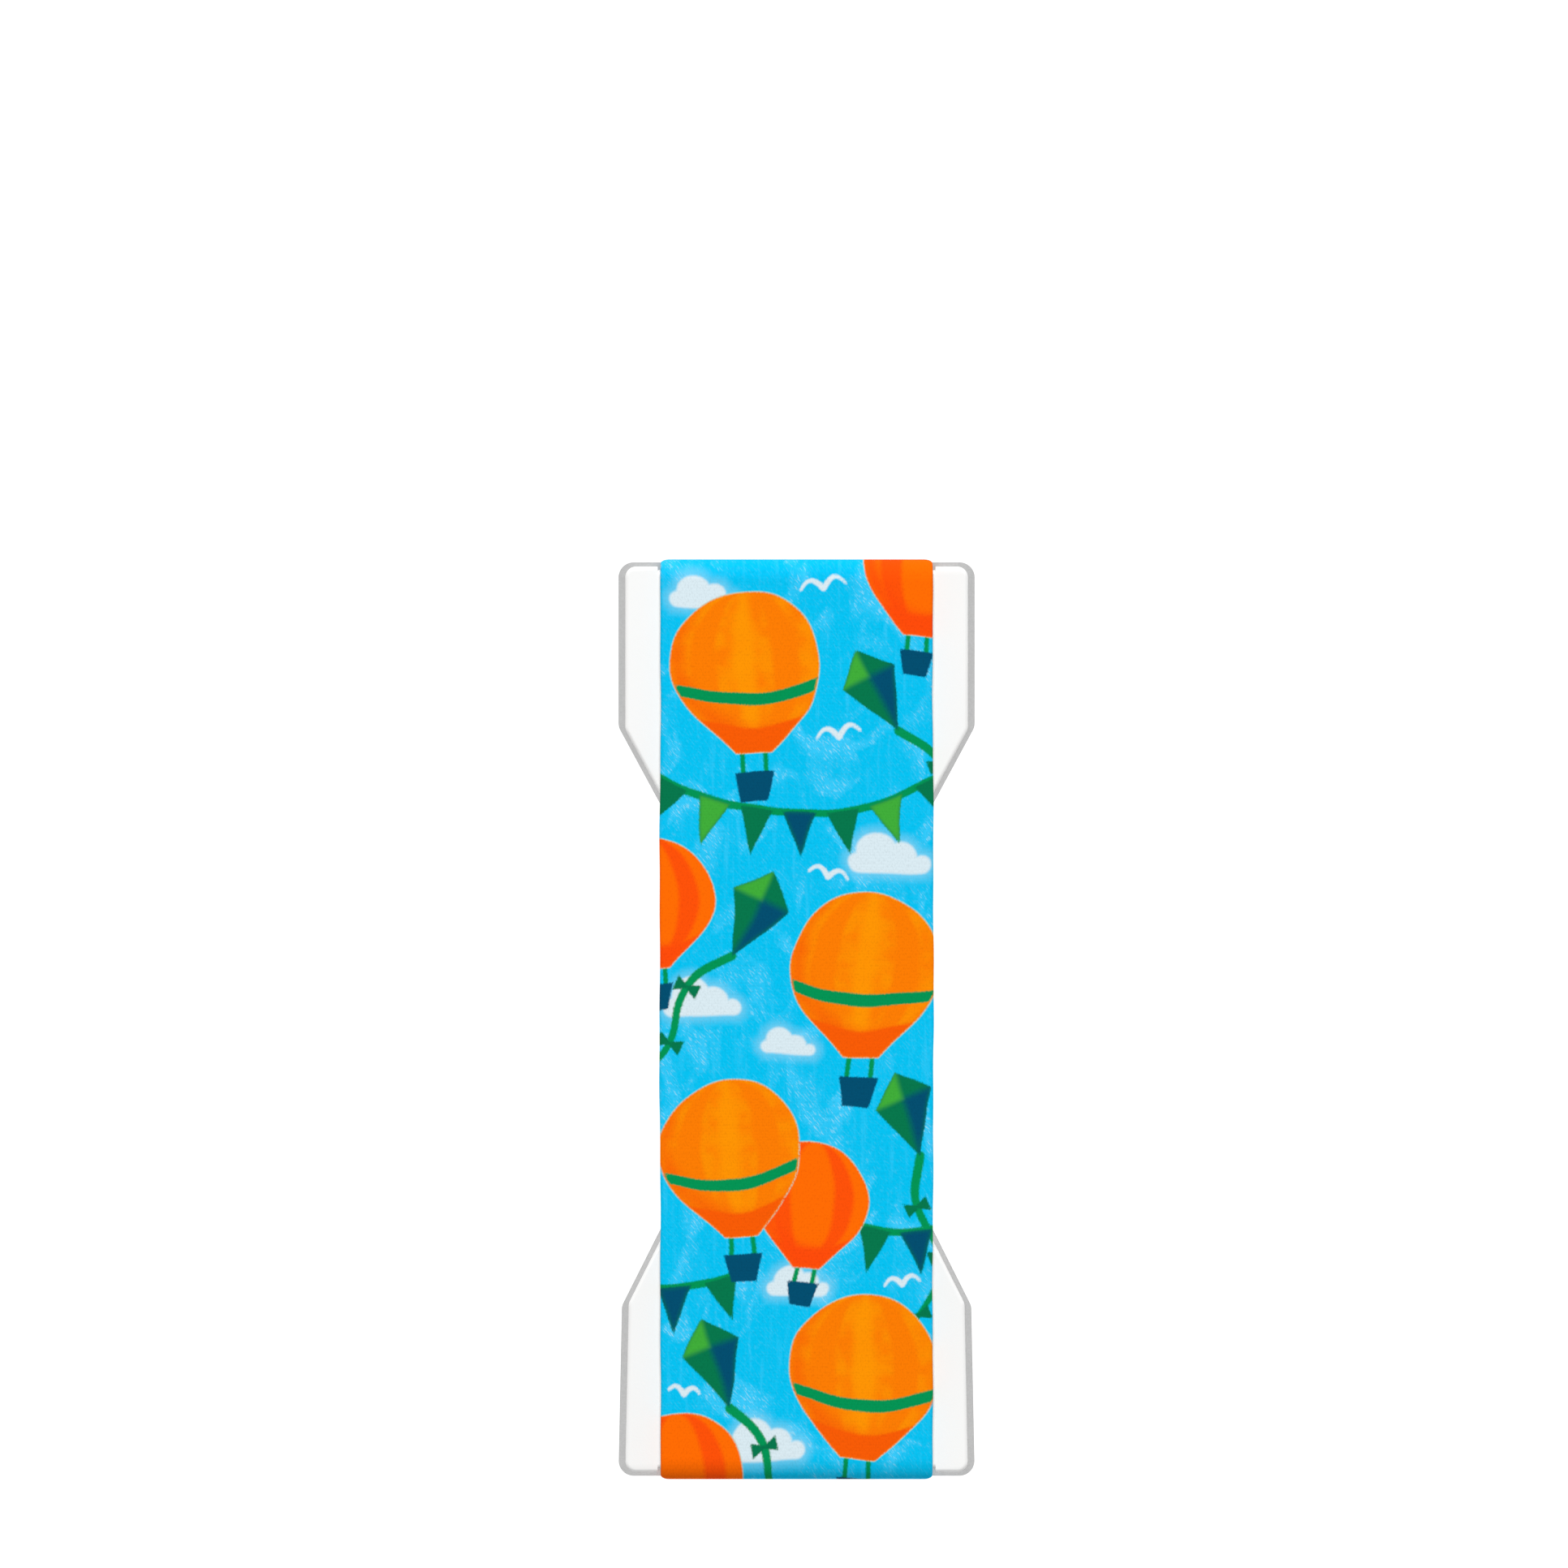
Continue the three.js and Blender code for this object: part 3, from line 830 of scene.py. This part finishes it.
def foam_grid(outline, low, high, edge_radius, waist):
    """The pad's skin: its outline moved inward by a rim profile that changes with height.

    The cut side is drawn in by a shallow parabola, and its two rims are rounded by quarter circles.
    """
    before = outline - np.roll(outline, 1, axis=0)
    after = np.roll(outline, -1, axis=0) - outline
    edges = [edge / np.linalg.norm(edge, axis=1, keepdims=True) for edge in (before, after)]
    normals = [np.stack([edge[:, 1], -edge[:, 0]], axis=-1) for edge in edges]
    outward = normals[0] + normals[1]
    outward /= np.maximum((outward * normals[1]).sum(axis=1, keepdims=True), 1e-6)
    quarter = np.linspace(0, np.pi / 2, 5)
    t = np.linspace(-1, 1, 7)[1:-1]
    half = (high - low) / 2
    foot = edge_radius * (1 - np.sin(quarter))
    rim = edge_radius * (1 - np.cos(quarter))
    inset = np.concatenate([foot, waist * (1 - t**2), rim])
    height = np.concatenate([low + rim, low + half + t * (half - edge_radius), high - rim[::-1]])
    flat = outline - inset[:, None, None] * outward
    return np.concatenate([flat, np.broadcast_to(height[:, None, None], (*flat.shape[:2], 1))], axis=-1)


def grey_foam():
    """Closed-cell foam: small cells that dent the surface and darken it a little."""
    foam = Recipe("grey_foam", roughness=0.9, specular=0.25)
    place = foam.object_place()
    cells = foam.add("ShaderNodeTexVoronoi", feature="F1")
    foam.feed(cells.inputs["Vector"], place)
    cells.inputs["Scale"].default_value = 5200.0
    drift = foam.noise(place, scale=260.0, detail=3.0)
    tone = foam.mix(drift, ink(173, 173, 173), ink(181, 181, 181))
    cell = foam.ramp(cells.outputs["Distance"], 0.25, 0.75)
    tone = foam.mix(foam.math("MULTIPLY", cell, 0.2), tone, ink(154, 154, 154))
    foam.feed(foam.surface.inputs["Base Color"], tone)
    foam.bump(cells.outputs["Distance"], distance=0.03 * MM, strength=0.6)
    return foam.material


class STRAP_OT_pad(bpy.types.Operator):
    """Makes the die-cut foam pad under the plate"""

    bl_idname = "strap.pad"
    bl_label = "Foam pad"

    def execute(self, context):
        sizes = context.scene.strap_pad
        low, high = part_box("adhesive_pad")
        outline = outline_of("adhesive_pad", low.z)
        grid = foam_grid(outline, low.z, high.z, sizes.edge_radius, sizes.waist)
        pad = add_object(closed_skin("foam_pad", grid), grey_foam())
        shade(pad.data)
        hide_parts("adhesive_pad")
        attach(pad, ROOT)
        return {"FINISHED"}


# Clamp bars


def stamped_steel():
    """Tumbled steel strip: rolling lines across the bar, in gloss and in relief."""
    steel = Recipe("clamp_steel", roughness=0.34, metallic=1.0)
    place = steel.scaled(steel.object_place(), (60.0, 5200.0, 5200.0))
    lines = steel.noise(place, detail=3.0)
    steel.feed(steel.surface.inputs["Base Color"], steel.mix(lines, ink(168, 170, 173), ink(196, 197, 199)))
    steel.feed(steel.surface.inputs["Roughness"], steel.math("MULTIPLY_ADD", lines, 0.2, 0.24))
    steel.bump(lines, distance=0.006 * MM, strength=0.5)
    return steel.material


class STRAP_OT_clamp_bars(bpy.types.Operator):
    """Gives the two toothed clamp bars their stamped steel"""

    bl_idname = "strap.clamp_bars"
    bl_label = "Clamp bars"

    def execute(self, context):
        steel = stamped_steel()
        for name in ("upper_clamp_bar", "lower_clamp_bar"):
            dress(name, steel)
        return {"FINISHED"}


# Stage


def pale_floor():
    """Matt white paint with a faint roller texture."""
    paint = Recipe("pale_floor", roughness=0.8, specular=0.1)
    mottle = paint.noise(paint.object_place(), scale=30.0, detail=2.0)
    paint.feed(paint.surface.inputs["Base Color"], paint.mix(mottle, ink(252, 252, 252), ink(254, 254, 254)))
    return paint.material


def add_floor(height, reach):
    """A flat square under the object, wide enough to fill the picture."""
    corners = [(x * reach, y * reach, height) for x, y in ((-1, -1), (1, -1), (1, 1), (-1, 1))]
    mesh = bpy.data.meshes.new("floor")
    mesh.from_pydata(corners, [], [(0, 1, 2, 3)])
    floor = add_object(mesh, pale_floor())
    return floor


def add_softbox(name, power, place, target, size):
    """A square softbox that looks at a point and that the camera doesn't see."""
    data = bpy.data.lights.new(name, "AREA")
    data.energy = power
    data.size = size
    light = bpy.data.objects.new(name, data)
    bpy.context.scene.collection.objects.link(light)
    light.location = place
    light.rotation_euler = (target - place).to_track_quat("-Z", "Y").to_euler()
    light.visible_camera = False
    return light


def only(name, pieces, state):
    """A light-linking group of pieces, which the light either works on alone or leaves out."""
    group = bpy.data.collections.new(name)
    for i, piece in enumerate(pieces):
        group.objects.link(piece)
        group.collection_objects[i].light_linking.link_state = state
    return group


def add_even_light(strength):
    """The same white light from every side."""
    world = bpy.data.worlds.new("even light")
    world.use_nodes = True
    background = world.node_tree.nodes["Background"]
    background.inputs["Color"].default_value = (1.0, 1.0, 1.0, 1.0)
    background.inputs["Strength"].default_value = strength
    bpy.context.scene.world = world


def add_camera(settings, height):
    """A long lens looking straight down, +Y up the picture, with the set width in frame at the height."""
    data = bpy.data.cameras.new("camera")
    data.lens = settings.lens
    distance = settings.frame_width * settings.lens / data.sensor_width
    data.clip_start = distance / 100
    data.clip_end = distance * 10
    camera = bpy.data.objects.new("camera", data)
    bpy.context.scene.collection.objects.link(camera)
    camera.location = (settings.look_x, settings.look_y, height + distance)
    bpy.context.scene.camera = camera


class STRAP_OT_stage(bpy.types.Operator):
    """Sets the floor, the light and the camera"""

    bl_idname = "strap.stage"
    bl_label = "Stage"

    def execute(self, context):
        settings = context.scene.strap_stage
        low, high = cad_box
        floor = add_floor(low.z, settings.floor_reach)
        # The wash lights the floor and the pad in place of the key, with no shadow of the strap on them.
        low_pieces = [floor, bpy.data.objects["foam_pad"]]
        centre = (low + high) / 2
        behind = centre + Vector((0.0, settings.key_reach, settings.key_rise))
        overhead = centre + Vector((0.0, 0.0, settings.wash_rise))
        key = add_softbox("key", settings.key_power, behind, centre, settings.softbox_side)
        key.light_linking.receiver_collection = only("key leaves out", low_pieces, "EXCLUDE")
        wash = add_softbox("wash", settings.wash_power, overhead, centre, settings.softbox_side)
        wash.light_linking.receiver_collection = only("wash lights", low_pieces, "INCLUDE")
        wash.light_linking.blocker_collection = only("wash is blocked by", [floor], "INCLUDE")
        add_even_light(settings.sky_strength)
        add_camera(settings, centre.z)
        context.scene.view_settings.view_transform = "Standard"
        return {"FINISHED"}


class STRAP_PT_pieces(bpy.types.Panel):
    """The strap's pieces and what can be set on them"""

    bl_idname = "STRAP_PT_pieces"
    bl_label = "Finger strap"
    bl_space_type = "VIEW_3D"
    bl_region_type = "UI"
    bl_category = "Finger strap"

    def draw(self, context):
        scene = context.scene
        groups = (("band", scene.strap_band), ("pad", scene.strap_pad), ("stage", scene.strap_stage))
        for piece, settings in groups:
            self.layout.operator("strap." + piece)
            for name in settings.__annotations__:
                self.layout.prop(settings, name)
        for name in scene.strap_inks.__annotations__:
            self.layout.prop(scene.strap_inks, name)
        for piece in ("plate", "clamp_bars"):
            self.layout.operator("strap." + piece)


CLASSES = (
    BandSizes,
    PadSizes,
    PrintColours,
    StageSettings,
    STRAP_OT_band,
    STRAP_OT_plate,
    STRAP_OT_pad,
    STRAP_OT_clamp_bars,
    STRAP_OT_stage,
    STRAP_PT_pieces,
)


def register():
    """Makes the classes and their scene properties known to Blender."""
    for cls in CLASSES:
        bpy.utils.register_class(cls)
    bpy.types.Scene.strap_band = PointerProperty(type=BandSizes)
    bpy.types.Scene.strap_pad = PointerProperty(type=PadSizes)
    bpy.types.Scene.strap_inks = PointerProperty(type=PrintColours)
    bpy.types.Scene.strap_stage = PointerProperty(type=StageSettings)


def unregister():
    """Undoes register()."""
    del bpy.types.Scene.strap_band
    del bpy.types.Scene.strap_pad
    del bpy.types.Scene.strap_inks
    del bpy.types.Scene.strap_stage
    for cls in reversed(CLASSES):
        bpy.utils.unregister_class(cls)


def main():
    """Makes every piece and the stage."""
    register()
    bpy.ops.strap.plate()
    bpy.ops.strap.band()
    bpy.ops.strap.pad()
    bpy.ops.strap.clamp_bars()
    bpy.ops.strap.stage()


if __name__ == "__main__":
    main()
